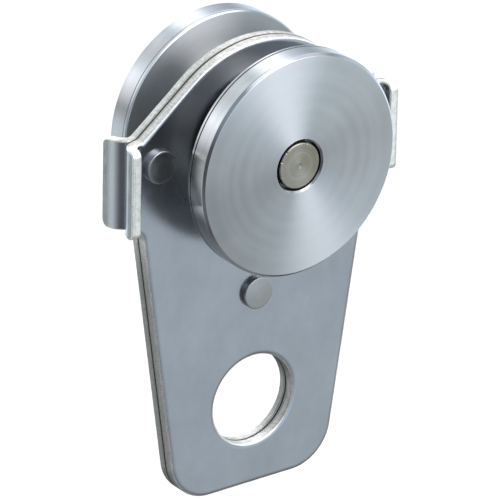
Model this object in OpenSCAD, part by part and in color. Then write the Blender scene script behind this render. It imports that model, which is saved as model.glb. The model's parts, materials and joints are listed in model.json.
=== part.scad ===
// Twin-wheel hanger for a slotted rail: two bent sheet-metal plates riveted back to back,
// a pin through both as the axle, and a ball-bearing wheel on each end of it.
// Origin: centre of the hanging eye, in the plane where the two plates meet.
// +Z points up to the axle, Y runs along the axle with the front wheel at -Y, X is the
// direction of travel. Millimetres.

/* [Plates] */
// Thickness of each of the two plates
sheet = 2.2; // [1.8:0.1:2.6]
// Height of the axle above the centre of the hanging eye
axle_h = 53.2; // [51:0.1:58]
// Diameter of the hanging eye
eye_d = 18.4; // [12:0.1:20]
// Distance from the centre of the eye down to the bottom edge
foot_drop = 17.7; // [16:0.1:22]
// Width of the plate at its bottom edge, before the corners are rounded
foot_w = 35.2; // [32:0.1:40]
// Radius of the two bottom corners
foot_r = 9; // [4:0.1:12]
// Width of the plate just below the ears
waist_w = 52.3; // [50:0.1:54]
// Radius of the rounded top
crown_r = 24.2; // [22:0.1:26]
// Height of the top edge above the axle
crown_rise = 20.75; // [19:0.05:21.5]
// Slope of the shoulders between the rounded top and the ears, in degrees
shoulder_slope = 39; // [36:0.5:42]

/* [Ears] */
// Distance across the outer faces of the left and right ears
ears_w = 61.2; // [59:0.1:66]
// How far an ear's free end stands from the plane where the plates meet
ear_reach = 5; // [4.8:0.1:6]
// Height of an ear
ear_h = 17.9; // [14:0.1:20]
// Inside radius of the bend between plate and ear
bend_r = 1.8; // [1:0.1:2]
// Radius of the corners at an ear's free end
ear_corner_r = 1.5; // [0.5:0.1:2]
// Radius of the inside corner below each ear
notch_r = 2.5; // [1:0.1:3]

/* [Wheels] */
// Diameter of a wheel
wheel_d = 44; // [40:0.5:46]
// Distance from the plates' joint to the wheel's inner face
wheel_inner_y = 10.1; // [9:0.1:11]
// Distance from the plates' joint to the wheel's outer face
wheel_outer_y = 15.1; // [15:0.1:16]
// Bevel on both rims of the wheel
rim_bevel = 0.42; // [0.2:0.02:0.8]
// Diameter of the hole in the wheel's face around the end of the axle
face_hole_d = 10.4; // [9.8:0.1:11]
// Diameter of the hub that holds the bearing, on the plate side of the wheel
hub_d = 29; // [26:0.5:32]
// Distance from the plates' joint to the hub's open end
hub_end_y = 4.2; // [3.8:0.1:4.6]

/* [Axle and rivets] */
// Diameter of the formed heads on both ends of the axle
axle_head_d = 9.1; // [8.8:0.1:9.4]
// How far an axle head sits below the wheel's face
axle_head_recess = 0.1; // [0:0.05:0.5]
// Diameter of a rivet's head
rivet_head_d = 6.5; // [5:0.1:7]
// Height of a rivet's head
rivet_head_h = 1.2; // [0.6:0.1:1.5]
// Diameter of a rivet's shank
rivet_d = 4; // [3:0.1:4.4]
// Distance from the centre line to the left and right rivets
side_rivet_x = 22.8; // [20:0.1:23]
// Height of the left and right rivets above the axle
side_rivet_rise = 0.8; // [-2:0.1:2]
// Distance from the axle down to the lower rivet
low_rivet_drop = 30.5; // [28:0.1:33]

/* [Bearings] */
// Bore of the bearing, which is also the diameter of the axle
bearing_bore_d = 8; // [7.6:0.1:8.2]
// Outside diameter of the bearing
bearing_d = 22; // [21.8:0.1:22.4]
// Width of the bearing
bearing_w = 7; // [6.8:0.1:7]
// Diameter of a ball
ball_d = 3.969; // [3.5:0.001:4]
// Balls in each bearing
ball_count = 7; // [6:1:7]

/* [Hidden] */
$fn = 96;
EPS = 0.01;

// Pin or ring in its seat
SEAT_GAP = 0.01;
// Rivet or axle in the plates
HOLE_GAP = 0.02;
// How far a cutting shape reaches past the face it cuts
OVER = 1;

axle_r = bearing_bore_d / 2;
wheel_r = wheel_d / 2;
eye_r = eye_d / 2;

// Plate outline, as heights above the eye
bend_out_r = bend_r + sheet;
bend_x = ears_w / 2 - bend_out_r;
foot_z = -foot_drop;
crown_z = axle_h + crown_rise - crown_r;
shoulder_z0 = crown_z + crown_r / cos(shoulder_slope);
ear_top = shoulder_z0 - bend_x * tan(shoulder_slope);
ear_bottom = ear_top - ear_h;
taper = atan((waist_w - foot_w) / 2 / (ear_bottom - foot_z));
function side_x(z) = foot_w / 2 + (z - foot_z) * tan(taper);
corner_z = foot_z + foot_r;
corner_x = side_x(corner_z) - foot_r / cos(taper);
notch_z = ear_bottom - notch_r;
notch_x = side_x(notch_z) + notch_r / cos(taper);
// The arc over the top stops this many degrees short of the middle, where both halves meet
crown_stop = 3;
// Straight steps along each arc of the outline
foot_steps = 16;
notch_steps = 12;
crown_steps = 13;
ear_corner_steps = 8;

// Bearing and wheel, as distances from the plates' joint along the axle
// Thickness of the wheel's face in front of the bearing
face_wall = 1.8;
pocket_floor = wheel_outer_y - face_wall;
bearing_out = pocket_floor;
bearing_in = bearing_out - bearing_w;
bearing_mid = (bearing_out + bearing_in) / 2;
seat_r = bearing_d / 2 + SEAT_GAP;
ball_r = ball_d / 2;
pitch_r = (bearing_bore_d + bearing_d) / 4;
// Ball tracks: room round a ball, and half the gap between the two rings' shoulders
race_gap = 0.066;
race_r = ball_r + race_gap;
shoulder_half_gap = 1.4;
inner_ring_r = pitch_r - shoulder_half_gap;
outer_ring_r = pitch_r + shoulder_half_gap;
// Shields, seated in a step of the outer ring
shield_seat_depth = 0.8;
shield_seat_step = 0.7;
shield_seat_r = outer_ring_r + shield_seat_step;
shield_t = 0.3;
shield_rim = 0.4;
shield_sink = 0.25;
shield_gap = 0.2;
// Cage: width of its ring, reach behind and in front of the balls, room round a ball
cage_w = 1.6;
cage_in_r = pitch_r - cage_w / 2;
cage_out_r = pitch_r + cage_w / 2;
cage_back = 2.4;
cage_prong = 1;
pocket_gap = 0.086;
pocket_r = ball_r + pocket_gap;
// Circlip and its groove
clip_t = 1;
clip_bite = 0.5;
clip_room = 0.1;
clip_out_r = seat_r + clip_bite;
clip_groove_r = clip_out_r + clip_room;
clip_thin = 1.3;
clip_thick = 2.1;
clip_lug_r = 1.9;
clip_lug_angle = 18;
clip_lug_inset = 0.2;
// Relief in the pocket's floor, so that the wheel touches only the bearing's outer ring
relief_edge = 2.1;
relief_r = bearing_d / 2 - relief_edge;
relief_depth = 0.35;
spacer_r = 6;

// ---------- placing: a part is drawn round Z, with z = distance from the plates' joint

module at_front() translate([0, 0, axle_h]) rotate([90, 0, 0]) children();

module at_rear() translate([0, 0, axle_h]) rotate([-90, 0, 0]) children();

// A 2D shape and its mirror image on the other side of x = 0
module both_sides() {
    children();
    mirror([1, 0]) children();
}

// A solid ring: a 2D profile in (radius, distance) turned about the axle
module turned() rotate_extrude($fn = 128) children();

// ---------- plates

// The sheet seen from above: flat web, two bends and two ears, all one thickness
module sheet_profile() {
    translate([-bend_x, -sheet]) square([2 * bend_x, sheet]);
    both_sides() {
        translate([bend_x, -bend_out_r]) intersection() {
            difference() {
                circle(bend_out_r);
                circle(bend_r);
            }
            square(bend_out_r);
        }
        translate([bend_x + bend_r, -ear_reach]) square([sheet, ear_reach - bend_out_r]);
    }
}

// Points along an arc from one direction to another, in degrees from +X
function arc(centre, r, from, to, steps) =
    [for (i = [0 : steps]) let (a = from + (to - from) * i / steps) centre + r * [cos(a), sin(a)]];

// The right half of the plate seen from the front, from the bottom edge round to the top
right_half = concat(
    arc([corner_x, corner_z], foot_r, -90, -taper, foot_steps),
    arc([notch_x, notch_z], notch_r, 180 - taper, 90, notch_steps),
    [
        [ears_w / 2 + OVER, ear_bottom],
        [ears_w / 2 + OVER, ear_top],
        [bend_x, ear_top]
    ],
    arc([0, crown_z], crown_r, 90 - shoulder_slope, 90 - crown_stop, crown_steps)
);

// The plate seen from the front, ears included
module front_outline() polygon(concat(
    right_half,
    [[0, crown_z + crown_r]],
    [for (i = [len(right_half) - 1 : -1 : 0]) [-right_half[i][0], right_half[i][1]]]
));

// The plate seen from the side: the web's full height, and the ear with rounded free corners
module side_outline() {
    web_y = ear_reach - ear_corner_r;
    above = ear_top - ear_corner_r;
    below = ear_bottom + ear_corner_r;
    tall = 2 * axle_h;
    polygon(concat(
        [[OVER, -tall], [OVER, tall], [-web_y, tall]],
        arc([-web_y, above], ear_corner_r, 90, 180, ear_corner_steps),
        arc([-web_y, below], ear_corner_r, 180, 270, ear_corner_steps),
        [[-web_y, -tall]]
    ));
}

module plate() {
    tall = 2 * (axle_h + crown_rise);
    difference() {
        intersection() {
            translate([0, 0, -tall / 2]) linear_extrude(tall) sheet_profile();
            rotate([90, 0, 0]) translate([0, 0, -OVER])
                linear_extrude(ear_reach + 2 * OVER) front_outline();
            rotate([90, 0, 90]) translate([0, 0, -ears_w]) linear_extrude(2 * ears_w) side_outline();
        }
        rotate([90, 0, 0]) translate([0, 0, -OVER]) {
            cylinder(r = eye_r, h = sheet + 2 * OVER);
            translate([0, axle_h]) cylinder(r = axle_r + HOLE_GAP, h = sheet + 2 * OVER);
            for (p = rivet_places)
                translate(p) cylinder(r = rivet_d / 2 + HOLE_GAP, h = sheet + 2 * OVER);
        }
    }
}

module front_plate() color([0.62, 0.66, 0.70]) plate();

module rear_plate() color([0.58, 0.62, 0.66]) rotate([0, 0, 180]) plate();

// ---------- rivets

left_place = [-side_rivet_x, axle_h + side_rivet_rise];
right_place = [side_rivet_x, axle_h + side_rivet_rise];
lower_place = [0, axle_h - low_rivet_drop];
rivet_places = [left_place, right_place, lower_place];

// A shank through both plates with a flat round head on each side
module rivet(place) {
    edge = 0.3;
    head_r = rivet_head_d / 2;
    head_top = sheet + rivet_head_h;
    color([0.55, 0.57, 0.58])
        translate([place[0], 0, place[1]]) rotate([90, 0, 0]) turned()
            polygon([
                [0, -head_top],
                [head_r - edge, -head_top],
                [head_r, -head_top + edge],
                [head_r, -sheet],
                [rivet_d / 2, -sheet],
                [rivet_d / 2, sheet],
                [head_r, sheet],
                [head_r, head_top - edge],
                [head_r - edge, head_top],
                [0, head_top]
            ]);
}

module left_rivet() rivet(left_place);

module right_rivet() rivet(right_place);

module lower_rivet() rivet(lower_place);

// ---------- axle

// Half of the axle in (radius, distance): the plain pin and one formed head with a centre mark
function axle_half() =
    let (
        edge = 0.3,
        dimple_r = 0.5,
        dimple_depth = 0.3,
        head_r = axle_head_d / 2,
        head_top = wheel_outer_y - axle_head_recess
    )
    [
        [axle_r, bearing_out],
        [head_r, bearing_out],
        [head_r, head_top - edge],
        [head_r - edge, head_top],
        [dimple_r, head_top],
        [0, head_top - dimple_depth]
    ];

// The same points on the other side of the plates' joint, in reverse order
function other_half(half) = [for (i = [len(half) - 1 : -1 : 0]) [half[i][0], -half[i][1]]];

module axle() color([0.56, 0.55, 0.52]) at_front() turned()
    polygon(concat(axle_half(), other_half(axle_half())));

module spacer() turned()
    translate([axle_r + HOLE_GAP, sheet])
        square([spacer_r - axle_r - HOLE_GAP, bearing_in - sheet]);

module front_spacer() color([0.66, 0.67, 0.68]) at_front() spacer();

module rear_spacer() color([0.66, 0.67, 0.68]) at_rear() spacer();

// ---------- wheels

module wheel() {
    hole_r = face_hole_d / 2;
    hole_edge = 0.2;
    hub_r = hub_d / 2;
    hub_edge = 0.5;
    lead_in = 0.3;
    turned() polygon([
        // outer face, bevelled rims and tread
        [hole_r + hole_edge, wheel_outer_y],
        [wheel_r - rim_bevel, wheel_outer_y],
        [wheel_r, wheel_outer_y - rim_bevel],
        [wheel_r, wheel_inner_y + rim_bevel],
        [wheel_r - rim_bevel, wheel_inner_y],
        // hub
        [hub_r, wheel_inner_y],
        [hub_r, hub_end_y + hub_edge],
        [hub_r - hub_edge, hub_end_y],
        [seat_r + lead_in, hub_end_y],
        [seat_r, hub_end_y + lead_in],
        // circlip groove
        [seat_r, bearing_in - clip_t - 2 * EPS],
        [clip_groove_r, bearing_in - clip_t - 2 * EPS],
        [clip_groove_r, bearing_in],
        // bearing seat, relief in front of the inner ring, hole round the axle's head
        [seat_r, bearing_in],
        [seat_r, pocket_floor],
        [relief_r, pocket_floor],
        [relief_r, pocket_floor + relief_depth],
        [hole_r, pocket_floor + relief_depth],
        [hole_r, wheel_outer_y - hole_edge]
    ]);
}

module front_wheel() color([0.70, 0.74, 0.78]) at_front() wheel();

module rear_wheel() color([0.70, 0.74, 0.78]) at_rear() wheel();

// ---------- bearings

// The ball track that both rings share, as a circle in (radius, distance)
module track() translate([pitch_r, bearing_mid]) circle(race_r);

module inner_ring() turned() difference() {
    translate([axle_r + SEAT_GAP, bearing_in])
        square([inner_ring_r - axle_r - SEAT_GAP, bearing_w]);
    track();
}

module outer_ring() turned() difference() {
    translate([outer_ring_r, bearing_in]) square([bearing_d / 2 - outer_ring_r, bearing_w]);
    track();
    for (y = [bearing_in - EPS, bearing_out - shield_seat_depth])
        translate([outer_ring_r - EPS, y])
            square([shield_seat_r - outer_ring_r + EPS, shield_seat_depth + EPS]);
}

// Places each child at the pitch circle, once per ball
module at_each_ball()
    for (i = [0 : ball_count - 1])
        rotate([0, 0, i * 360 / ball_count]) translate([pitch_r, 0, bearing_mid]) children();

module balls() at_each_ball() sphere(ball_r);

// One-piece snap cage: a ring behind the balls with prongs that reach past their centres
module cage() difference() {
    turned() translate([cage_in_r, bearing_mid - cage_prong])
        square([cage_out_r - cage_in_r, cage_prong + cage_back]);
    at_each_ball() sphere(pocket_r);
}

// A thin disc whose rim sits in the outer ring, drawn for the outboard side
module shield() {
    face = bearing_out - shield_sink;
    shield_out_r = shield_seat_r - SEAT_GAP;
    turned() {
        translate([inner_ring_r + shield_gap, face - shield_t])
            square([shield_out_r - inner_ring_r - shield_gap, shield_t]);
        translate([shield_out_r - shield_rim, bearing_out - shield_seat_depth])
            square([shield_rim, shield_seat_depth - shield_sink]);
    }
}

// The same disc turned round the bearing's middle plane
module inboard_shield() translate([0, 0, 2 * bearing_mid]) mirror([0, 0, 1]) shield();

// ---------- circlips

module circlip_outline() {
    middle_r = clip_out_r - clip_thick;
    lug_pitch_r = clip_out_r - clip_lug_r - clip_lug_inset;
    gap_half = clip_lug_angle - asin(clip_lug_r / lug_pitch_r);
    difference() {
        union() {
            difference() {
                circle(clip_out_r);
                translate([0, (clip_thick - clip_thin) / 2])
                    circle(clip_out_r - (clip_thick + clip_thin) / 2);
                polygon([
                    [0, 0],
                    2 * clip_out_r * [sin(gap_half), cos(gap_half)],
                    [0, 3 * clip_out_r],
                    2 * clip_out_r * [-sin(gap_half), cos(gap_half)]
                ]);
            }
            for (side = [-1, 1])
                rotate(side * clip_lug_angle) translate([0, lug_pitch_r]) circle(clip_lug_r);
        }
        for (side = [-1, 1])
            rotate(side * clip_lug_angle) translate([0, lug_pitch_r]) circle(clip_lug_r / 2);
    }
}

module circlip() translate([0, 0, bearing_in - clip_t - EPS])
    linear_extrude(clip_t) circlip_outline();

// ---------- one module per bearing part and side

module front_bearing_inner_ring() color([0.72, 0.73, 0.75]) at_front() inner_ring();

module rear_bearing_inner_ring() color([0.72, 0.73, 0.75]) at_rear() inner_ring();

module front_bearing_outer_ring() color([0.68, 0.69, 0.71]) at_front() outer_ring();

module rear_bearing_outer_ring() color([0.68, 0.69, 0.71]) at_rear() outer_ring();

module front_bearing_balls() color([0.85, 0.86, 0.88]) at_front() balls();

module rear_bearing_balls() color([0.85, 0.86, 0.88]) at_rear() balls();

module front_bearing_cage() color([0.75, 0.66, 0.42]) at_front() cage();

module rear_bearing_cage() color([0.75, 0.66, 0.42]) at_rear() cage();

module front_inboard_shield() color([0.60, 0.61, 0.63]) at_front() inboard_shield();

module rear_inboard_shield() color([0.60, 0.61, 0.63]) at_rear() inboard_shield();

module front_outboard_shield() color([0.60, 0.61, 0.63]) at_front() shield();

module rear_outboard_shield() color([0.60, 0.61, 0.63]) at_rear() shield();

module front_circlip() color([0.25, 0.25, 0.27]) at_front() circlip();

module rear_circlip() color([0.25, 0.25, 0.27]) at_rear() circlip();

front_plate();
rear_plate();
axle();
left_rivet();
right_rivet();
lower_rivet();
front_spacer();
rear_spacer();
front_wheel();
rear_wheel();
front_bearing_inner_ring();
rear_bearing_inner_ring();
front_bearing_outer_ring();
rear_bearing_outer_ring();
front_bearing_balls();
rear_bearing_balls();
front_bearing_cage();
rear_bearing_cage();
front_inboard_shield();
rear_inboard_shield();
front_outboard_shield();
rear_outboard_shield();
front_circlip();
rear_circlip();
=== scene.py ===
import json
import math

import bpy
import numpy as np
from mathutils import Matrix, Vector
from mathutils.geometry import delaunay_2d_cdt


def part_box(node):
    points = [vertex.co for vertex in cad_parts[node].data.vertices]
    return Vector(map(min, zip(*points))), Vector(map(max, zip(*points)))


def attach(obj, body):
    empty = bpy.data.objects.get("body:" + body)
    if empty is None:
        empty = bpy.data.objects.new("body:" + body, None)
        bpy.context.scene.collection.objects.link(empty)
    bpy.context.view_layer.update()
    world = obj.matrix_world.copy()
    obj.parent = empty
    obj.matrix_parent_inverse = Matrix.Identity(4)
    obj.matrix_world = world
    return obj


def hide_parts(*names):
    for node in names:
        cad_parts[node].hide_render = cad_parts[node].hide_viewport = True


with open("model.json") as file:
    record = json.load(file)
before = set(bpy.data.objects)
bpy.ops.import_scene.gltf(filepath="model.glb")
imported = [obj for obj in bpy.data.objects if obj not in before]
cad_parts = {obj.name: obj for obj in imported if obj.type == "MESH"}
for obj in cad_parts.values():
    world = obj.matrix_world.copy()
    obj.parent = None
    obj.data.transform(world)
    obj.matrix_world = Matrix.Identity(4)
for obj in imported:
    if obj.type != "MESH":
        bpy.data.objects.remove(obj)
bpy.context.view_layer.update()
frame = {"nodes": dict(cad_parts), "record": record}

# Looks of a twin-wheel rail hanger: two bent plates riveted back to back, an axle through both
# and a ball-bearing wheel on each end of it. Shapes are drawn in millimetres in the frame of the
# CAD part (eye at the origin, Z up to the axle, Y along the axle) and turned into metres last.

MM = 0.001
FRONT = -1
REAR = 1
RIVETS = ("left_rivet", "right_rivet", "lower_rivet")


def box_mm(node):
    """Lowest and highest corner of a CAD node, in millimetres."""
    low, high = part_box(node)
    return low / MM, high / MM


# ---------- sizes read from the frame

AXLE_LOW, AXLE_HIGH = box_mm("axle")
AXLE_Z = (AXLE_LOW.z + AXLE_HIGH.z) / 2
AXLE_CENTRE = Vector((0, 0, AXLE_Z))
AXLE_END = AXLE_HIGH.y
AXLE_HEAD_R = AXLE_HIGH.x

PLATE_LOW, PLATE_HIGH = box_mm("front_plate")
EARS_HALF = PLATE_HIGH.x
EAR_REACH = -PLATE_LOW.y
FOOT_Z = PLATE_LOW.z
TOP_Z = PLATE_HIGH.z

SPACER_LOW, SPACER_HIGH = box_mm("front_spacer")
SPACER_R = SPACER_HIGH.x
SHEET = -SPACER_HIGH.y
SPACER_END = -SPACER_LOW.y

WHEEL_LOW, WHEEL_HIGH = box_mm("front_wheel")
WHEEL_R = WHEEL_HIGH.x
WHEEL_FACE = -WHEEL_LOW.y
HUB_END = -WHEEL_HIGH.y

BEARING_LOW, BEARING_HIGH = box_mm("front_bearing_outer_ring")
BEARING_R = BEARING_HIGH.x
BEARING_IN = -BEARING_HIGH.y
BEARING_OUT = -BEARING_LOW.y

_, CLIP_HIGH = box_mm("front_circlip")
CLIP_R = CLIP_HIGH.x

EYE = next(mount for mount in frame["record"]["mounts"] if mount["name"] == "hanging_eye")
EYE_R = EYE["dims"]["r_mm"]

# ---------- sizes that no box gives

FOOT_W = 35.2
FOOT_CORNER_R = 9.0
WAIST_W = 52.3
CROWN_R = 24.2
SHOULDER_SLOPE = math.radians(39)
EAR_H = 17.9
BEND_R = 1.8
EAR_CORNER_R = 1.5
NOTCH_R = 2.5
SHOULDER_FILLET = 2.0
PIN_R = 4.0
RIVET_R = 2.0

TINY = 1e-6
SHARP_ANGLE = math.radians(40)


# ---------- outlines and meshes

def rounded(corners, arc_step, closed=True):
    """Rounds the corners (x, y, radius) of a path and returns its points, each with the unit
    tangent on arriving and on leaving. The two differ only at a corner of radius 0."""
    count = len(corners)
    path = []
    for i, (x, y, radius) in enumerate(corners):
        here = np.array((x, y), float)
        before = np.array(corners[i - 1][:2], float)
        after = np.array(corners[(i + 1) % count][:2], float)
        inward = (here - before) / max(np.linalg.norm(here - before), TINY)
        outward = (after - here) / max(np.linalg.norm(after - here), TINY)
        if not closed and i == 0:
            inward = outward
        if not closed and i == count - 1:
            outward = inward
        turn = math.atan2(inward[0] * outward[1] - inward[1] * outward[0], inward @ outward)
        if radius == 0 or abs(turn) < TINY:
            path.append((here, inward, outward))
            continue
        start = here - inward * radius * math.tan(abs(turn) / 2)
        side = math.copysign(1, turn)
        centre = start + side * radius * np.array((-inward[1], inward[0]))
        steps = max(2, math.ceil(abs(turn) / arc_step))
        for k in range(steps + 1):
            angle = turn * k / steps
            cos, sin = math.cos(angle), math.sin(angle)
            tangent = np.array((inward[0] * cos - inward[1] * sin,
                                inward[0] * sin + inward[1] * cos))
            point = centre - side * radius * np.array((-tangent[1], tangent[0]))
            path.append((point, tangent, tangent))
    return path


def make_piece(name, points, faces, materials, face_materials=None, corner_normals=None):
    """A mesh object from points in millimetres. Every face is smooth; corner_normals gives the
    exact normal at each face corner, in the order of the faces."""
    mesh = bpy.data.meshes.new(name)
    mesh.from_pydata([tuple(p) for p in np.asarray(points) * MM], [], faces)
    for material in materials:
        mesh.materials.append(material)
    mesh.polygons.foreach_set("use_smooth", [True] * len(mesh.polygons))
    if face_materials is not None:
        mesh.polygons.foreach_set("material_index", face_materials)
    if corner_normals is not None:
        mesh.normals_split_custom_set([tuple(n) for n in corner_normals])
    mesh.update()
    piece = bpy.data.objects.new(name, mesh)
    bpy.context.scene.collection.objects.link(piece)
    return piece


def swept_rings(path, side, circle):
    """Turns each point of a path into a ring of points. A point on the axis is one point, and
    its index repeats all round. Returns the points and each ring's indices."""
    points, rings = [], []
    for (radius, distance), _, _ in path:
        if radius < TINY:
            rings.append([len(points)] * len(circle))
            points.append((0, side * distance, 0))
            continue
        rings.append(list(range(len(points), len(points) + len(circle))))
        points.extend((radius * c, side * distance, radius * s) for c, s in circle)
    return np.array(points, float), rings


def lathe(name, path, material, side=FRONT, closed=True, steps=96, warp=None):
    """Turns a path of (radius, distance from the plates' joint) about the axle's direction.
    side puts it on the front or the rear end. warp moves the finished points, and the mesh then
    gets plain smooth normals with sharp edges where the path has sharp corners."""
    angles = np.arange(steps) * 2 * math.pi / steps
    circle = np.stack([np.cos(angles), np.sin(angles)], axis=1)
    points, rings = swept_rings(path, side, circle)
    area = sum(a[0][0] * b[0][1] - b[0][0] * a[0][1] for a, b in zip(path, path[1:] + path[:1]))
    outward = math.copysign(1, area)
    forward = outward * side > 0
    faces, normals = [], []
    for i in range(len(path) if closed else len(path) - 1):
        j = (i + 1) % len(path)
        tangent_i, tangent_j = path[i][2], path[j][1]
        for k in range(steps):
            m = (k + 1) % steps
            ring = [(rings[i][k], tangent_i, k), (rings[j][k], tangent_j, k),
                    (rings[j][m], tangent_j, m), (rings[i][m], tangent_i, m)]
            corners = [c for n, c in enumerate(ring) if c[0] != ring[n - 1][0]]
            if not forward:
                corners.reverse()
            faces.append([c[0] for c in corners])
            for _, tangent, at in corners:
                radial, axial = outward * tangent[1], -outward * tangent[0]
                normals.append((radial * circle[at][0], side * axial, radial * circle[at][1]))
    if warp is None:
        return make_piece(name, points, faces, [material], corner_normals=normals)
    piece = make_piece(name, warp(points), faces, [material])
    piece.data.set_sharp_from_angle(angle=SHARP_ANGLE)
    return piece


def place(piece, centre, body, slot, node):
    """Moves a piece to its centre, given in millimetres, and ties it to its CAD body."""
    piece.location = Vector(centre) * MM
    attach(piece, body)
    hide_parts(node)


# ---------- plates

BEND_OUT_R = BEND_R + SHEET
BEND_X = EARS_HALF - BEND_OUT_R
BEND_MID_R = (BEND_R + BEND_OUT_R) / 2
BEND_LENGTH = BEND_MID_R * math.pi / 2
EAR_END = BEND_X + BEND_LENGTH + EAR_REACH - BEND_OUT_R
APEX_Z = TOP_Z - CROWN_R + CROWN_R / math.cos(SHOULDER_SLOPE)
EAR_TOP = APEX_Z - BEND_X * math.tan(SHOULDER_SLOPE)
EAR_BOTTOM = EAR_TOP - EAR_H

# The cut edge: rolled over towards the face, broken at the joint, with a fine shear line between
ROLLOVER_W = 1.0
ROLLOVER_H = 0.5
ROLLOVER_STEPS = 6
JOINT_EDGE_R = 0.3
JOINT_EDGE_STEPS = 3
SHEAR_LINE = 0.5
SHEAR_LINE_HALF = 0.11
SHEAR_LINE_DEPTH = 0.12
# Its section as (share of the depth, half widths from its middle, normal's share outward and
# towards the face)
SHEAR_LINE_SHAPE = ((0, 1.4, 1, 0), (0.6, 0.7, 0.7, -0.7), (1, 0, 1, 0), (0.6, -0.7, 0.7, 0.7))

# Distances between the mesh's points
FLAT_STEP = 0.9
BEND_STEP = 0.28
GRID_STEP = 1.7
GRID_CLEARANCE = 0.55 * GRID_STEP
HOLE_STEPS_MIN = 32
HOLE_STEPS_PER_MM = 14

# Material slots of a plate
SHEET_SIDE, CUT_SIDE = range(2)


def flat_outline():
    """The blank of a plate before it is bent, counterclockwise from the bottom."""
    right = [
        (FOOT_W / 2, FOOT_Z, FOOT_CORNER_R),
        (WAIST_W / 2, EAR_BOTTOM, NOTCH_R),
        (EAR_END, EAR_BOTTOM, EAR_CORNER_R),
        (EAR_END, EAR_TOP, EAR_CORNER_R),
        (BEND_X, EAR_TOP, SHOULDER_FILLET),
    ]
    left = [(-x, z, radius) for x, z, radius in reversed(right)]
    return subdivided(rounded(right + [(0, APEX_Z, CROWN_R)] + left, math.radians(4)))


def subdivided(path):
    """Adds points along the straight stretches of the blank's outline, closer together on the
    ears, where it will be bent."""
    full = []
    for i, (point, arriving, leaving) in enumerate(path):
        full.append((point, arriving, leaving))
        after = path[(i + 1) % len(path)][0]
        gap = after - point
        middle = (point + after) / 2
        step = BEND_STEP if abs(middle[0]) > BEND_X - 1 else FLAT_STEP
        count = math.ceil(np.linalg.norm(gap) / step)
        for k in range(1, count):
            full.append((point + gap * k / count, leaving, leaving))
    return full


def hole_steps(radius):
    """How many straight steps a round hole is drawn with."""
    return max(HOLE_STEPS_MIN, int(radius * HOLE_STEPS_PER_MM))


def hole_outline(x, z, radius):
    """A round hole, clockwise, so that its outward side is the hole."""
    steps = hole_steps(radius)
    path = []
    for k in range(steps):
        angle = -2 * math.pi * k / steps
        tangent = np.array((math.sin(angle), -math.cos(angle)))
        point = np.array((x + radius * math.cos(angle), z + radius * math.sin(angle)))
        path.append((point, tangent, tangent))
    return path


def outward_of(tangent):
    """The direction out of the steel beside a path that runs counterclockwise round it."""
    return np.array((tangent[1], -tangent[0]))


def bent(point, normal):
    """Takes a point (u, depth, z) of the blank, with depth measured from the joint plane towards
    the face, and its normal, to where the bent plate has them."""
    u, depth, z = point
    side = math.copysign(1, u)
    past = abs(u) - BEND_X
    turn = min(max(past / BEND_MID_R, 0), math.pi / 2)
    cos, sin = math.cos(turn), math.sin(turn)
    if past <= 0:
        x, y = abs(u), -depth
    else:
        straight = past - BEND_MID_R * turn
        x = BEND_X + (BEND_OUT_R - depth) * sin
        y = -BEND_OUT_R + (BEND_OUT_R - depth) * cos - straight
    along = normal[0] * side
    normal_x = along * cos - normal[1] * sin
    normal_y = -along * sin - normal[1] * cos
    return (side * x, y, z), (side * normal_x, normal_y, normal[2])


class Blank:
    """Collects the points and faces of a plate drawn flat, and bends each point as it comes."""

    def __init__(self):
        self.points = []
        self.normals = []
        self.faces = []
        self.face_materials = []

    def point(self, place, normal):
        """Adds a point and returns its index."""
        place, normal = bent(place, normal)
        self.points.append(place)
        self.normals.append(normal)
        return len(self.points) - 1

    def face(self, corners, material):
        self.faces.append(corners)
        self.face_materials.append(material)

    def corner_normals(self):
        return [self.normals[v] for face in self.faces for v in face]


def edge_profile():
    """Rings along a cut edge, from the face round to the joint plane, each as (inset, depth,
    normal's share outward, normal's share towards the face)."""
    rings = []
    for k in range(ROLLOVER_STEPS + 1):
        angle = math.pi / 2 * k / ROLLOVER_STEPS
        sin, cos = math.sin(angle), math.cos(angle)
        length = math.hypot(sin / ROLLOVER_W, cos / ROLLOVER_H)
        rings.append((ROLLOVER_W * (1 - sin), SHEET - ROLLOVER_H * (1 - cos),
                      sin / ROLLOVER_W / length, cos / ROLLOVER_H / length))
    for deep, across, out_share, face_share in SHEAR_LINE_SHAPE:
        rings.append((SHEAR_LINE_DEPTH * deep, SHEAR_LINE + SHEAR_LINE_HALF * across,
                      out_share, face_share))
    for k in range(JOINT_EDGE_STEPS + 1):
        angle = math.pi / 2 * k / JOINT_EDGE_STEPS
        sin, cos = math.sin(angle), math.cos(angle)
        rings.append((JOINT_EDGE_R * (1 - cos), JOINT_EDGE_R * (1 - sin), cos, -sin))
    return rings


def edge_ring(blank, outline, ring):
    """One ring of the edge's section, all along an outline. Returns its points' indices."""
    inset, depth, out_share, face_share = ring
    row = []
    for at, tangent, _ in outline:
        outward = outward_of(tangent)
        u, z = at - outward * inset
        normal = (outward[0] * out_share, face_share, outward[1] * out_share)
        row.append(blank.point((u, depth, z), normal))
    return row


def edge_band(blank, outline, rings):
    """The cut edge along one outline. Returns its first and its last ring, where the flat sides
    begin. The upper half of the roll-over still has the sheet's finish."""
    rows = [edge_ring(blank, outline, ring) for ring in rings]
    for r, (upper, lower) in enumerate(zip(rows, rows[1:])):
        material = SHEET_SIDE if r < ROLLOVER_STEPS // 2 else CUT_SIDE
        for k in range(len(outline)):
            m = (k + 1) % len(outline)
            blank.face((upper[k], lower[k], lower[m], upper[m]), material)
    return rows[0], rows[-1]


def outside_hole(at, hole, inset):
    x, z, radius = hole
    flat_r = (radius + inset) * math.cos(math.pi / hole_steps(radius))
    return math.hypot(at[0] - x, at[1] - z) > flat_r


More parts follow.
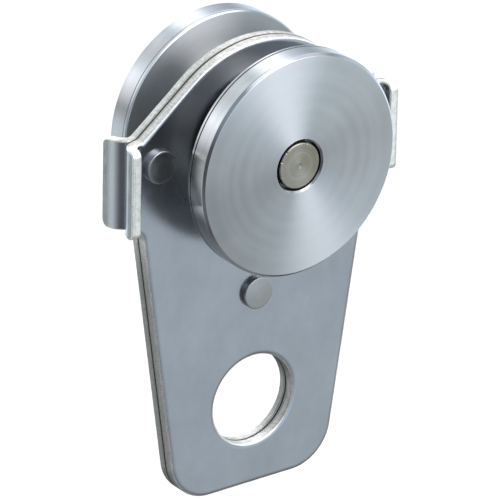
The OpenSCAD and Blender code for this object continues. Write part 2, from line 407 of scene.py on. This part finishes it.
def grid_points(clear_of):
    """Points inside the blank, closer together across the bends, away from the given points."""
    step = 2 * BEND_X / round(2 * BEND_X / GRID_STEP)
    middle = list(np.arange(-BEND_X, BEND_X + step / 2, step))
    bend = list(np.arange(BEND_X + BEND_STEP, EAR_END - BEND_STEP, BEND_STEP))
    inside = []
    for u in [-u for u in reversed(bend)] + middle + bend:
        clearance = BEND_STEP if abs(u) > BEND_X else GRID_CLEARANCE
        for z in np.arange(FOOT_Z, TOP_Z, GRID_STEP):
            if np.linalg.norm(clear_of - np.array((u, z)), axis=1).min() > clearance:
                inside.append((u, z))
    return inside


def side_triangles(loops, holes, inset):
    """Triangles that fill the blank between its rim and its holes, all drawn inset from the cut
    edge. Returns the added points and the triangles, as indices into the loops' points followed
    by the added ones."""
    inside_only, same_point = 1, 1e-7
    rim = [p for loop in loops for p in loop]
    edges, start = [], 0
    for loop in loops:
        edges += [(start + k, start + (k + 1) % len(loop)) for k in range(len(loop))]
        start += len(loop)
    added = grid_points(np.array(rim))
    flat = [Vector(p) for p in rim + added]
    out, _, faces, origin, _, _ = delaunay_2d_cdt(flat, edges, [], inside_only, same_point)
    index = [source[0] for source in origin]
    kept = []
    for face in faces:
        middle = sum((np.array(out[v]) for v in face), np.zeros(2)) / len(face)
        if all(outside_hole(middle, hole, inset) for hole in holes):
            kept.append([index[v] for v in face])
    return added, kept


def flat_side(blank, outlines, holes, ring, rows):
    """The face or the joint side of a plate, from the rows of points where its edges end."""
    inset, depth, _, face_share = ring
    loops = [[tuple(at - outward_of(tangent) * inset) for at, tangent, _ in outline]
             for outline in outlines]
    added, triangles = side_triangles(loops, holes, inset)
    index = [v for row in rows for v in row]
    index += [blank.point((u, depth, z), (0, face_share, 0)) for u, z in added]
    for triangle in triangles:
        corners = [index[v] for v in triangle]
        blank.face(corners if face_share > 0 else corners[::-1], SHEET_SIDE)


def plate_holes():
    """Every hole in a plate as (x, z, radius)."""
    holes = [(0, 0, EYE_R), (0, AXLE_Z, PIN_R)]
    for node in RIVETS:
        low, high = box_mm(node)
        holes.append(((low.x + high.x) / 2, (low.z + high.z) / 2, RIVET_R))
    return holes


def plate(name, materials, turned):
    """One bent plate. turned puts it on the rear side, half a turn round Z."""
    holes = plate_holes()
    outlines = [flat_outline()] + [hole_outline(*hole) for hole in holes]
    rings = edge_profile()
    blank = Blank()
    bands = [edge_band(blank, outline, rings) for outline in outlines]
    flat_side(blank, outlines, holes, rings[0], [first for first, _ in bands])
    flat_side(blank, outlines, holes, rings[-1], [last for _, last in bands])
    piece = make_piece(name + "_skin", blank.points, blank.faces, materials,
                       blank.face_materials, blank.corner_normals())
    if turned:
        piece.data.transform(Matrix.Rotation(math.pi, 4, "Z"))
    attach(piece, "hanger")
    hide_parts(name)


# ---------- turned parts

BEVEL = 0.5
BEVEL_EDGE_R = 0.16
BACK_CHAMFER = 0.18
BACK_CHAMFER_DEEP = 0.3
INNER_FACE = 10.1
LIP_W = 0.65
GROOVE_W = 0.28
GROOVE_DEPTH = 0.24
GROOVE_WALL = 0.3 * GROOVE_W
FACE_HOLE_R = 5.0
HOLE_CHAMFER = 0.35
HUB_R = 14.5
SEAT_GAP = 0.01
CLIP_GROOVE_ROOM = 0.1
RELIEF_W = 2.1
RELIEF_DEPTH = 0.35
# Radii of a wheel's smallest edges
BROKEN_R = 0.06
SHARP_R = 0.03
RELIEF_EDGE_R = 0.1

# Material slots of a wheel
FACE, BACK, TREAD, GROOVE, CHAMFER, HOLE_WALL = range(6)


def wheel_path():
    """Half section of a wheel as (radius, distance from the joint)."""
    seat = BEARING_R + SEAT_GAP
    clip_groove = CLIP_R + CLIP_GROOVE_ROOM
    clip_groove_in = -CLIP_HIGH.y - SEAT_GAP
    relief_r = BEARING_R - RELIEF_W
    relief = BEARING_OUT + RELIEF_DEPTH
    lip = INNER_FACE + LIP_W
    groove = lip + GROOVE_W
    groove_r = WHEEL_R - GROOVE_DEPTH
    return rounded([
        (FACE_HOLE_R, WHEEL_FACE - HOLE_CHAMFER, 0.04),
        (FACE_HOLE_R + HOLE_CHAMFER, WHEEL_FACE, BROKEN_R),
        (WHEEL_R - BEVEL, WHEEL_FACE, BEVEL_EDGE_R),
        (WHEEL_R, WHEEL_FACE - BEVEL, BEVEL_EDGE_R),
        (WHEEL_R, groove, SHARP_R),
        (groove_r, groove - GROOVE_WALL, 0.05),
        (groove_r, lip + GROOVE_WALL, 0.05),
        (WHEEL_R, lip, SHARP_R),
        (WHEEL_R, INNER_FACE + BACK_CHAMFER, BROKEN_R),
        (WHEEL_R - BACK_CHAMFER_DEEP, INNER_FACE, BROKEN_R),
        (HUB_R, INNER_FACE, 0.4),
        (HUB_R, HUB_END, 0.5),
        (seat, HUB_END, 0.3),
        (seat, clip_groove_in, 0),
        (clip_groove, clip_groove_in, 0),
        (clip_groove, BEARING_IN, 0),
        (seat, BEARING_IN, 0),
        (seat, BEARING_OUT, 0),
        (relief_r, BEARING_OUT, 0),
        (relief_r, relief, RELIEF_EDGE_R),
        (FACE_HOLE_R, relief, RELIEF_EDGE_R),
    ], math.radians(15))


def wheel_slot(radius, distance):
    """Which material a face of a wheel has, from its outermost radius and its distance from the
    plates' joint."""
    on_back = INNER_FACE + 0.02
    lip = INNER_FACE + LIP_W
    clear_of_hub = HUB_R * 1.2
    rim = WHEEL_R - BEVEL + 0.01
    if distance < on_back:
        return BACK
    if radius > clear_of_hub and lip < distance < lip + GROOVE_W:
        return GROOVE
    if radius < FACE_HOLE_R + SHARP_R:
        return HOLE_WALL
    if radius < FACE_HOLE_R + HOLE_CHAMFER:
        return CHAMFER
    if radius > rim and WHEEL_FACE - BEVEL < distance < WHEEL_FACE - BEVEL_EDGE_R / 2:
        return CHAMFER
    return TREAD if radius > rim else FACE


def wheel(side, name, materials):
    """A wheel, with its materials in the order of the material slots above."""
    piece = lathe(name + "_turned", wheel_path(), materials[FACE], side=side, steps=256)
    for material in materials[BACK:]:
        piece.data.materials.append(material)
    for face in piece.data.polygons:
        corners = [piece.data.vertices[v].co for v in face.vertices]
        radius = max(math.hypot(corner.x, corner.z) for corner in corners)
        face.material_index = wheel_slot(radius / MM, abs(face.center.y) / MM)
    place(piece, AXLE_CENTRE, name, "wheel_steel", name)


# The axle's end: a centre dimple, turning rings and short marks in the rim
HEAD_EDGE_R = 0.3
DIMPLE_R = 0.55
DIMPLE_DEPTH = 0.3
RING_PITCH = 0.62
RING_HEIGHT = 0.007
RING_STEPS = 8
TICK_ANGLES = (68, 132, 159, 199, 223)
TICK_DEPTH = 0.16
TICK_WIDTH = 0.09
TICK_LENGTH = 0.6
TICK_FADE_FROM = 1.0
TICK_FADE = 0.7
TICK_PULL_IN = 0.2


def axle_half_path():
    """From the middle of one end out to the shank: a faced head with shallow rings."""
    ring_radii = np.arange(DIMPLE_R, AXLE_HEAD_R - HEAD_EDGE_R * 1.2, RING_PITCH / RING_STEPS)
    face = [(r, AXLE_END - RING_HEIGHT * (1 - math.cos(2 * math.pi * r / RING_PITCH)), 0)
            for r in ring_radii]
    return [(0, AXLE_END - DIMPLE_DEPTH, 0)] + face + [
        (AXLE_HEAD_R, AXLE_END, HEAD_EDGE_R),
        (AXLE_HEAD_R, BEARING_OUT, 0),
        (PIN_R, BEARING_OUT, 0),
    ]


def mirrored(half):
    """A whole path from the half on one side of the plates' joint."""
    return half + [(r, -y, edge) for r, y, edge in reversed(half)]


def staked(points):
    """Presses short radial marks into the rim of both heads."""
    marked = points.copy()
    radius = np.hypot(points[:, 0], points[:, 2])
    angle = np.arctan2(points[:, 2], points[:, 0])
    for degrees in TICK_ANGLES:
        away = (angle - math.radians(degrees) + math.pi) % (2 * math.pi) - math.pi
        across = np.exp(-(away * radius / TICK_WIDTH) ** 2)
        along = np.clip(1 - (AXLE_HEAD_R - radius) / TICK_LENGTH, 0, 1)
        from_end = np.abs(points[:, 1]) - AXLE_END
        at_end = np.clip((from_end + TICK_FADE_FROM) / TICK_FADE, 0, 1)
        pull = TICK_DEPTH * across * along * at_end
        marked[:, 1] -= np.sign(points[:, 1]) * pull
        shrink = 1 - TICK_PULL_IN * pull / np.maximum(radius, 0.1)
        marked[:, 0] *= shrink
        marked[:, 2] *= shrink
    return marked


def axle(material):
    path = rounded(mirrored(axle_half_path()), math.radians(15), closed=False)
    piece = lathe("axle_pin", path, material, closed=False, steps=360, warp=staked)
    place(piece, AXLE_CENTRE, "hanger", "axle_steel", "axle")


RIVET_EDGE_R = 0.3
RIVET_CROWN = 0.16
RIVET_CROWN_R = 6
# Points of the crown as (share of the head's radius, share of the crown's drop)
RIVET_CROWN_SHAPE = ((0.35, 0.1), (0.78, 0.62))


def rivet(node, material):
    """A shank with a slightly crowned, round-edged head on each side."""
    low, high = box_mm(node)
    head_r = (high.x - low.x) / 2
    crown = [(head_r * out, high.y - RIVET_CROWN * drop, RIVET_CROWN_R)
             for out, drop in RIVET_CROWN_SHAPE]
    half = [(0, high.y, 0)] + crown + [
        (head_r, high.y - RIVET_CROWN, RIVET_EDGE_R),
        (head_r, SHEET, 0),
        (RIVET_R, SHEET, 0),
    ]
    path = rounded(mirrored(half), math.radians(4), closed=False)
    piece = lathe(node + "_formed", path, material, closed=False)
    centre = ((low.x + high.x) / 2, 0, (low.z + high.z) / 2)
    place(piece, centre, "hanger", "rivet_steel", node)


def spacer(side, node, material):
    """A short faced tube between plate and bearing."""
    path = rounded([
        (SPACER_R, SHEET, 0.25),
        (SPACER_R, SPACER_END, 0.25),
        (PIN_R, SPACER_END, 0.1),
        (PIN_R, SHEET, 0.1),
    ], math.radians(20))
    piece = lathe(node + "_tube", path, material, side=side)
    place(piece, AXLE_CENTRE, "hanger", "spacer_steel", node)


# ---------- materials

class Nodes:
    """Short calls for building a material's nodes round its Principled shader."""

    def __init__(self, name):
        self.material = bpy.data.materials.new(name)
        self.material.use_nodes = True
        self.tree = self.material.node_tree
        self.shader = self.tree.nodes["Principled BSDF"]

    def add(self, kind, inputs=None, **settings):
        node = self.tree.nodes.new(kind)
        for key, value in settings.items():
            setattr(node, key, value)
        for key, value in (inputs or {}).items():
            self.feed(node.inputs[key], value)
        return node

    def feed(self, socket, value):
        """Links a socket to another one, or sets its value."""
        if isinstance(value, bpy.types.NodeSocket):
            self.tree.links.new(value, socket)
        else:
            socket.default_value = value

    def set(self, **inputs):
        for key, value in inputs.items():
            self.feed(self.shader.inputs[key.replace("_", " ")], value)

    def math(self, operation, *values):
        return self.add("ShaderNodeMath", dict(enumerate(values)), operation=operation).outputs[0]

    def vector(self, operation, *values):
        inputs = dict(enumerate(values))
        return self.add("ShaderNodeVectorMath", inputs, operation=operation).outputs[0]

    def total(self, first, *others):
        for other in others:
            first = self.math("ADD", first, other)
        return first

    def parts(self, vector):
        """The X, Y and Z of a vector."""
        return self.add("ShaderNodeSeparateXYZ", {"Vector": vector}).outputs

    def object_mm(self, origin=(0, 0, 0)):
        """Object coordinates in millimetres from the given origin."""
        place = self.add("ShaderNodeTexCoord").outputs["Object"]
        moved = self.vector("SUBTRACT", place, Vector(origin) * MM)
        scaled = self.add("ShaderNodeVectorMath", {0: moved, "Scale": 1 / MM}, operation="SCALE")
        return scaled.outputs[0]

    def noise(self, vector, size, detail=3.0, roughness=0.55):
        """Noise from about 0 to 1, with features of the given size in millimetres."""
        return self.add("ShaderNodeTexNoise", {
            "Vector": vector, "Scale": 1 / size, "Detail": detail, "Roughness": roughness,
        }).outputs["Fac"]

    def streaks(self, vector, scale, size, detail=3.0, roughness=0.55):
        """Noise drawn out along the axes whose scale is small."""
        return self.noise(self.vector("MULTIPLY", vector, scale), size, detail, roughness)

    def spread(self, value, low, high, start=0.3, end=0.7):
        """Maps start to end onto low to high. Noise is mostly between the two it starts from."""
        return self.add("ShaderNodeMapRange", {
            "Value": value, "From Min": start, "From Max": end, "To Min": low, "To Max": high,
        }).outputs[0]

    def blend(self, factor, first, second):
        node = self.add("ShaderNodeMix", data_type="RGBA")
        for key, value in (("Factor", factor), ("A", first), ("B", second)):
            self.feed(node.inputs[key], value)
        return node.outputs["Result"]

    def bump(self, height, distance_mm, strength=1.0, normal=None):
        inputs = {"Height": height, "Distance": distance_mm * MM, "Strength": strength}
        if normal is not None:
            inputs["Normal"] = normal
        return self.add("ShaderNodeBump", inputs).outputs[0]


def grey(value, tint=(1.0, 1.0, 1.0)):
    return (value * tint[0], value * tint[1], value * tint[2], 1.0)


def faded(colour, share):
    """The same colour, darker."""
    return (colour[0] * share, colour[1] * share, colour[2] * share, 1.0)


# Tints of the steel
COOL = (0.94, 0.98, 1.06)
WARM = (1.05, 1.0, 0.9)
NEUTRAL = (0.99, 1.0, 1.0)
GREENISH = (0.94, 1.0, 0.99)
EDGE_TINT = (1.0, 1.0, 0.93)
GRIME = (0.03, 0.025, 0.022, 1)
# Painted shade in the front wheel's groove and in the hole of its face
PAINTED_GROOVE_SHADE = (0.05, 0.042, 0.035, 1)
STRAW = (0.27, 0.24, 0.17, 1)

# Where a plate's bend turns to the ears' darker tone, as a distance from the joint
EAR_START = SHEET + 0.6
EAR_SURE = SHEET + 1.4
# Half the width of the dark line along the joint, and of the part of it that is darkest
SEAM_GRIME = 0.34
SEAM_GRIME_CORE = 0.3 * SEAM_GRIME


def sheet_material():
    """Satin face of the plates: cool grey, cloudy, with fine rolling grain. The ears, which were
    worked most, are darker and scored lengthwise."""
    n = Nodes("plate_sheet")
    at = n.object_mm()
    clouds = n.noise(at, 14.0, 4.0, 0.6)
    stains = n.streaks(at, (1.0, 1.0, 0.6), 3.0)
    grain = n.streaks(at, (1.0, 1.0, 0.12), 0.16, 2.0)
    scoring = n.streaks(at, (1.0, 1.0, 0.1), 0.3, 3.0, 0.65)
    tone = n.total(n.spread(clouds, 0, 0.65), n.spread(stains, 0, 0.35))
    from_joint = n.math("ABSOLUTE", n.parts(at)["Y"])
    flat = n.blend(tone, grey(0.40, COOL), grey(0.50, COOL))
    ear = n.blend(n.spread(scoring, 0, 1, 0.42, 0.66), grey(0.36, GREENISH), grey(0.23, GREENISH))
    n.set(
        Metallic=1.0,
        Base_Color=n.blend(n.spread(from_joint, 0, 1, EAR_START, EAR_SURE), flat, ear),
        Roughness=n.total(n.spread(stains, 0.21, 0.26), n.spread(grain, -0.02, 0.03)),
        Normal=n.bump(clouds, 0.03, 0.3, n.bump(grain, 0.0015, 0.4)),
    )
    return n.material


def edge_marks(n, at):
    """Fine marks on a cut edge: across the sheet, along the edge and level, evenly mixed."""
    across_sheet = n.streaks(at, (1.0, 0.12, 1.0), 0.14, 3.0, 0.6)
    along_edge = n.streaks(at, (0.12, 1.0, 0.12), 0.2, 3.0, 0.6)
    level = n.streaks(at, (0.12, 0.12, 1.0), 0.12, 3.0, 0.6)
    return n.math("MULTIPLY", n.total(across_sheet, along_edge, level), 1 / 3)


def edge_light_and_shade(n, at, from_joint):
    """Painted light and shade on a cut edge: darkest on the lower half, lighter above it, with
    painted highlights on the roll-over and at the bottom of the eye, and a little painted shade
    again along the ears."""
    painted_top_light = n.spread(n.parts(at)["Z"], 0.46, 0.84, EAR_BOTTOM - 10, EAR_BOTTOM)
    rollover_highlight = n.spread(from_joint, 0, 0.5, SHEET - 0.5, SHEET - 0.1)
    ear_painted_shade = n.spread(from_joint, 0, -0.15, SHEET, SHEET + 1)
    in_plate = n.vector("MULTIPLY", at, (1.0, 0.0, 1.0))
    from_eye_bottom = n.add("ShaderNodeVectorMath", {0: in_plate, 1: (0, 0, -EYE_R)},
                      operation="DISTANCE").outputs["Value"]
    eye_bottom_highlight = n.spread(from_eye_bottom, 0.5, 0, EYE_R * 0.3, EYE_R * 0.9)
    return n.total(painted_top_light, rollover_highlight, ear_painted_shade, eye_bottom_highlight)


def cut_edge_material():
    """Sheared edges: rougher than the sheet, with fine marks, painted light and shade in their
    colour, and dark grime in the seam between the plates."""
    n = Nodes("plate_cut_edge")
    at = n.object_mm()
    marks = edge_marks(n, at)
    patches = n.noise(at, 2.5)
    from_joint = n.math("ABSOLUTE", n.parts(at)["Y"])
    clean = n.spread(from_joint, 0, 1, SEAM_GRIME_CORE, SEAM_GRIME)
    # Painted light: brighter higher up, painted highlights on the roll-over and at the eye's
    # bottom, painted shade on the ears
    painted_edge_light = edge_light_and_shade(n, at, from_joint)
    lit_marks = n.math("MULTIPLY", n.spread(marks, 0.5, 1.1, 0.38, 0.62), painted_edge_light)
    steel = n.vector("MULTIPLY", n.math("MINIMUM", lit_marks, 1.0), EDGE_TINT)
    n.set(
        Metallic=0.8,
        Base_Color=n.blend(clean, GRIME, steel),
        Roughness=n.total(n.spread(patches, 0.42, 0.52), n.spread(marks, -0.04, 0.06)),
        Normal=n.bump(marks, 0.015, 0.6),
    )
    return n.material


def turned_material(name, colour, roughness, anisotropy, ring_mm, depth_mm, fade=0.9,
                    stain=None, painted_shade_share=0.0, origin=(0, 0, 0)):
    """Lathe-turned metal: grooves run round the piece, and the gloss fans out across them.
    In places it turns to the stain colour, or fades to that share of its own. One argument gives
    how much of this fading is painted shade: a fixed slant, darker towards one side of the piece,
    standing in for how the light falls; the rest is cloudy."""
    n = Nodes(name)
    at = n.object_mm(origin)
    parts = n.parts(at)
    squares = n.total(*(n.math("MULTIPLY", parts[axis], parts[axis]) for axis in ("X", "Z")))
    radius = n.math("POWER", squares, 0.5)
    section = n.add("ShaderNodeCombineXYZ", {"X": radius, "Y": parts["Y"]}).outputs[0]
    rings = n.noise(section, ring_mm, 4.0, 0.7)
    bands = n.noise(section, ring_mm * 12, 3.0, 0.6)
    clouds = n.math("MULTIPLY", n.total(bands, n.noise(at, 7.0)), 0.5)
    # Painted shade: the colour darkens in a fixed slant towards the low X and Z side of the piece
    slant = 1.4 * WHEEL_R
    painted_slant_shade = n.spread(n.total(parts["X"], parts["Z"]), painted_shade_share, 0, -slant, slant)
    fade_and_painted_shade = n.total(n.spread(clouds, 0, 1 - painted_shade_share), painted_slant_shade)
    gloss = n.spread(clouds, roughness - 0.03, roughness + 0.04)
    n.set(
        Metallic=1.0,
        Base_Color=n.blend(fade_and_painted_shade, colour, stain or faded(colour, fade)),
        Roughness=n.total(gloss, n.spread(rings, -0.03, 0.03)),
        Normal=n.bump(rings, depth_mm, 0.6),
        Anisotropic=anisotropy,
        Anisotropic_Rotation=0.25,
        Tangent=n.add("ShaderNodeTangent", direction_type="RADIAL", axis="Y").outputs[0],
    )
    return n.material


def plain_metal(name, colour, roughness, size_mm, depth_mm):
    """Ground or pressed steel with a fine irregular surface."""
    n = Nodes(name)
    at = n.object_mm()
    fine = n.noise(at, size_mm)
    clouds = n.noise(at, 3.0)
    n.set(
        Metallic=1.0,
        Base_Color=n.blend(n.spread(clouds, 0, 1), colour, faded(colour, 0.85)),
        Roughness=n.spread(fine, roughness - 0.05, roughness + 0.06),
        Normal=n.bump(fine, depth_mm, 0.5),
    )
    return n.material


def cage_material():
    """Moulded nylon, slightly cloudy and waxy."""
    n = Nodes("cage_nylon")
    at = n.object_mm()
    clouds = n.noise(at, 2.0, 4.0)
    n.set(
        Base_Color=n.blend(n.spread(clouds, 0, 1), (0.55, 0.43, 0.22, 1), (0.66, 0.54, 0.3, 1)),
        Roughness=n.spread(clouds, 0.38, 0.5),
        Subsurface_Weight=0.1,
        Normal=n.bump(n.noise(at, 0.15), 0.01, 0.3),
    )
    return n.material


def dress(nodes, material):
    """Gives carried-over CAD nodes a material."""
    for node in nodes:
        piece = frame["nodes"][node]
        piece.data.materials.clear()
        piece.data.materials.append(material)


# ---------- the object

PLATE_MATERIALS = [sheet_material(), cut_edge_material()]
plate("front_plate", PLATE_MATERIALS, turned=False)
plate("rear_plate", PLATE_MATERIALS, turned=True)

# In the order of the wheel's material slots
WHEEL_MATERIALS = [
    # The turned face, with painted shade darkening it towards one side
    turned_material("wheel_turned", grey(0.72, (0.97, 1.0, 1.01)), roughness=0.39,
                    anisotropy=0.94, ring_mm=0.12, depth_mm=0.004, fade=0.62, painted_shade_share=0.8),
    turned_material("wheel_back", grey(0.66, (0.98, 1.0, 0.98)), roughness=0.4,
                    anisotropy=0.93, ring_mm=0.12, depth_mm=0.008),
    turned_material("wheel_tread", grey(0.62, (0.97, 1.0, 1.0)), roughness=0.18,
                    anisotropy=0.4, ring_mm=0.15, depth_mm=0.006, fade=0.8),
    plain_metal("groove_painted_shade", PAINTED_GROOVE_SHADE, roughness=0.6, size_mm=0.3, depth_mm=0.01),
    turned_material("wheel_chamfer", grey(0.42, (0.95, 1.0, 1.06)), roughness=0.13,
                    anisotropy=0.2, ring_mm=0.15, depth_mm=0.003),
]
# The wall of the hole in the face has the same dark painted shade as the groove
WHEEL_MATERIALS.append(WHEEL_MATERIALS[GROOVE])
# The rear wheel's groove has the tread's steel, without the painted shade
REAR_WHEEL_MATERIALS = list(WHEEL_MATERIALS)
REAR_WHEEL_MATERIALS[GROOVE] = WHEEL_MATERIALS[TREAD]
wheel(FRONT, "front_wheel", WHEEL_MATERIALS)
wheel(REAR, "rear_wheel", REAR_WHEEL_MATERIALS)

axle(turned_material("axle_faced", grey(0.46, WARM), roughness=0.34, anisotropy=0.6,
                     ring_mm=0.12, depth_mm=0.010, stain=STRAW))

RIVET_STEEL = turned_material("rivet_formed", grey(0.44, NEUTRAL), roughness=0.27,
                              anisotropy=0.2, ring_mm=0.4, depth_mm=0.003)
for rivet_name in RIVETS:
    rivet(rivet_name, RIVET_STEEL)

SPACER_STEEL = turned_material("spacer_turned", grey(0.6, NEUTRAL), roughness=0.3,
                               anisotropy=0.5, ring_mm=0.12, depth_mm=0.006)
spacer(FRONT, "front_spacer", SPACER_STEEL)
spacer(REAR, "rear_spacer", SPACER_STEEL)

ENDS = ("front", "rear")
dress([f"{end}_bearing_{ring}_ring" for end in ENDS for ring in ("inner", "outer")],
      turned_material("ring_ground", grey(0.22, NEUTRAL), roughness=0.3, anisotropy=0.4,
                      ring_mm=0.05, depth_mm=0.002, origin=AXLE_CENTRE))
dress([f"{end}_bearing_balls" for end in ENDS],
      plain_metal("ball_polished", grey(0.72, NEUTRAL), roughness=0.12, size_mm=0.3,
                  depth_mm=0.001))
dress([f"{end}_bearing_cage" for end in ENDS], cage_material())
dress([f"{end}_{side}_shield" for end in ENDS for side in ("inboard", "outboard")],
      plain_metal("shield_pressed", grey(0.5, NEUTRAL), roughness=0.34, size_mm=0.2,
                  depth_mm=0.006))
dress([f"{end}_circlip" for end in ENDS],
      plain_metal("circlip_phosphated", grey(0.07, NEUTRAL), roughness=0.5, size_mm=0.15,
                  depth_mm=0.01))


# ---------- camera

CAMERA_AZIMUTH = math.radians(-36.5)
CAMERA_ELEVATION = math.radians(23.33)
CAMERA_ROLL = math.radians(1.235)
CAMERA_DISTANCE = 1.037
CAMERA_LENS = 399.7
# The picture's middle lies this far right of and above the axle's centre, across the view
AIM_RIGHT = -0.0004
AIM_UP = -0.02071


def add_camera():
    """A long lens, from the left and a little above."""
    azimuth, elevation, roll = CAMERA_AZIMUTH, CAMERA_ELEVATION, CAMERA_ROLL
    back = Vector((math.sin(azimuth) * math.cos(elevation),
                   -math.cos(azimuth) * math.cos(elevation), math.sin(elevation)))
    right = Vector((math.cos(azimuth), math.sin(azimuth), 0))
    up = back.cross(right)
    rolled_right = right * math.cos(roll) + up * math.sin(roll)
    rolled_up = up * math.cos(roll) - right * math.sin(roll)
    axle_centre = AXLE_CENTRE * MM
    aim = axle_centre + rolled_right * AIM_RIGHT + rolled_up * AIM_UP
    location = axle_centre + back * CAMERA_DISTANCE
    z = (location - aim).normalized()
    x = rolled_up.cross(z).normalized()
    y = z.cross(x)
    camera = bpy.data.objects.new("camera", bpy.data.cameras.new("camera"))
    camera.matrix_world = Matrix.Translation(location) @ Matrix((x, y, z)).transposed().to_4x4()
    camera.data.lens = CAMERA_LENS
    camera.data.clip_start = 0.05
    camera.data.clip_end = 50
    bpy.context.scene.collection.objects.link(camera)
    bpy.context.scene.camera = camera


# ---------- light and floor

FLOOR_DROP = 0.15
FLOOR_SIZE = 6.0
FLOOR_COLOUR = (0.95, 0.94, 0.89, 1)


def add_floor():
    """A pale floor well below the part. Seen from underneath it is clear."""
    z = FOOT_Z * MM - FLOOR_DROP
    half = FLOOR_SIZE / 2
    mesh = bpy.data.meshes.new("floor")
    mesh.from_pydata([(-half, -half, z), (half, -half, z), (half, half, z), (-half, half, z)], [],
                     [(0, 1, 2, 3)])
    n = Nodes("floor")
    n.set(Base_Color=FLOOR_COLOUR, Roughness=0.9)
    clear = n.add("ShaderNodeBsdfTransparent").outputs[0]
    below = n.add("ShaderNodeNewGeometry").outputs["Backfacing"]
    mixed = n.add("ShaderNodeMixShader", {0: below, 1: n.shader.outputs[0], 2: clear})
    output = next(node for node in n.tree.nodes if node.type == "OUTPUT_MATERIAL")
    n.feed(output.inputs["Surface"], mixed.outputs[0])
    mesh.materials.append(n.material)
    floor = bpy.data.objects.new("floor", mesh)
    bpy.context.scene.collection.objects.link(floor)
    floor.visible_glossy = False
    floor.visible_diffuse = False


# Soft lights of the studio as (direction, degrees from there to where it is gone, colour and
# brightness), added to the even light that comes from everywhere
LIGHTS = (
    # the key light, in front, to the right and above, with a brighter middle
    ((0.3, -0.8, 0.5), 37, (1.2, 1.2, 1.2)),
    ((0.36, -0.8, 0.5), 30, (1.5, 1.55, 1.5)),
    # in front
    ((0.0, -1.0, 0.0), 37, (0.5, 0.55, 0.55)),
    ((0.53, -0.85, 0.0), 37, (0.25, 0.35, 0.45)),
    ((-0.3, -0.8, 0.5), 37, (0.4, 0.5, 0.55)),
    ((0.3, -0.8, -0.5), 37, (0.3, 0.35, 0.35)),
    # behind
    ((0.0, 1.0, 0.0), 37, (1.9, 2.2, 2.2)),
    ((0.3, 0.8, 0.5), 37, (0.6, 0.7, 0.75)),
    ((0.28, 0.74, 0.62), 16, (0.8, 0.8, 0.75)),
    ((-0.4, 0.74, 0.55), 25, (0.55, 0.6, 0.6)),
    ((0.0, 0.5, 0.85), 37, (0.35, 0.35, 0.3)),
    # above
    ((0.5, 0.3, 0.8), 37, (1.15, 1.05, 1.0)),
    ((0.5, -0.3, 0.8), 30, (1.1, 1.1, 1.1)),
    ((0.1, -0.52, 0.85), 25, (1.7, 1.7, 1.7)),
    # right
    ((1.0, 0.0, 0.0), 37, (0.8, 0.9, 1.0)),
    ((0.8, 0.5, -0.3), 37, (0.9, 1.1, 1.2)),
    ((0.8, -0.5, 0.3), 37, (0.2, 0.25, 0.25)),
    ((0.8, -0.5, -0.3), 37, (0.25, 0.25, 0.15)),
    ((0.85, 0.0, 0.5), 37, (0.25, 0.25, 0.2)),
    ((0.85, 0.0, -0.5), 37, (0.2, 0.15, 0.15)),
    # left
    ((-0.57, 0.74, -0.35), 25, (0.7, 0.8, 0.8)),
    ((-0.75, 0.5, 0.4), 32, (0.9, 0.9, 0.9)),
    ((-0.62, 0.74, 0.25), 16, (0.4, 0.4, 0.4)),
    ((-0.88, 0.2, -0.4), 30, (0.45, 0.5, 0.4)),
    ((-0.85, 0.0, -0.5), 37, (0.45, 0.5, 0.5)),
    # below
    ((0.0, 0.0, -1.0), 37, (0.25, 0.25, 0.25)),
)
EVEN_LIGHT = (0.165, 0.165, 0.165)
STUDIO_TINT = (1.0, 0.99, 1.07)
BACKDROP = (1.0, 1.0, 1.0)


def add_world():
    """The studio round the part, as light from every direction. Past the floor it is plain."""
    world = bpy.data.worlds.new("studio")
    world.use_nodes = True
    bpy.context.scene.world = world
    tree = world.node_tree

    def vector_node(operation, first, second):
        node = tree.nodes.new("ShaderNodeVectorMath")
        node.operation = operation
        for socket, value in zip(node.inputs, (first, second)):
            if isinstance(value, bpy.types.NodeSocket):
                tree.links.new(value, socket)
            else:
                socket.default_value = value
        return node

    view = tree.nodes.new("ShaderNodeTexCoord").outputs["Generated"]
    total = EVEN_LIGHT
    for direction, reach, colour in LIGHTS:
        nearness = vector_node("DOT_PRODUCT", view, Vector(direction).normalized())
        share = tree.nodes.new("ShaderNodeMapRange")
        share.interpolation_type = "SMOOTHSTEP"
        share.inputs["From Min"].default_value = math.cos(math.radians(reach))
        tree.links.new(nearness.outputs["Value"], share.inputs["Value"])
        light = vector_node("MULTIPLY", share.outputs[0], colour)
        total = vector_node("ADD", total, light.outputs[0]).outputs[0]
    total = vector_node("MULTIPLY", total, STUDIO_TINT).outputs[0]
    seen = tree.nodes.new("ShaderNodeMix")
    seen.data_type = "RGBA"
    tree.links.new(tree.nodes.new("ShaderNodeLightPath").outputs["Is Camera Ray"],
                   seen.inputs["Factor"])
    tree.links.new(total, seen.inputs["A"])
    seen.inputs["B"].default_value = (*BACKDROP, 1)
    tree.links.new(seen.outputs["Result"], tree.nodes["Background"].inputs["Color"])


add_camera()
add_floor()
add_world()
bpy.context.scene.view_settings.view_transform = "Standard"
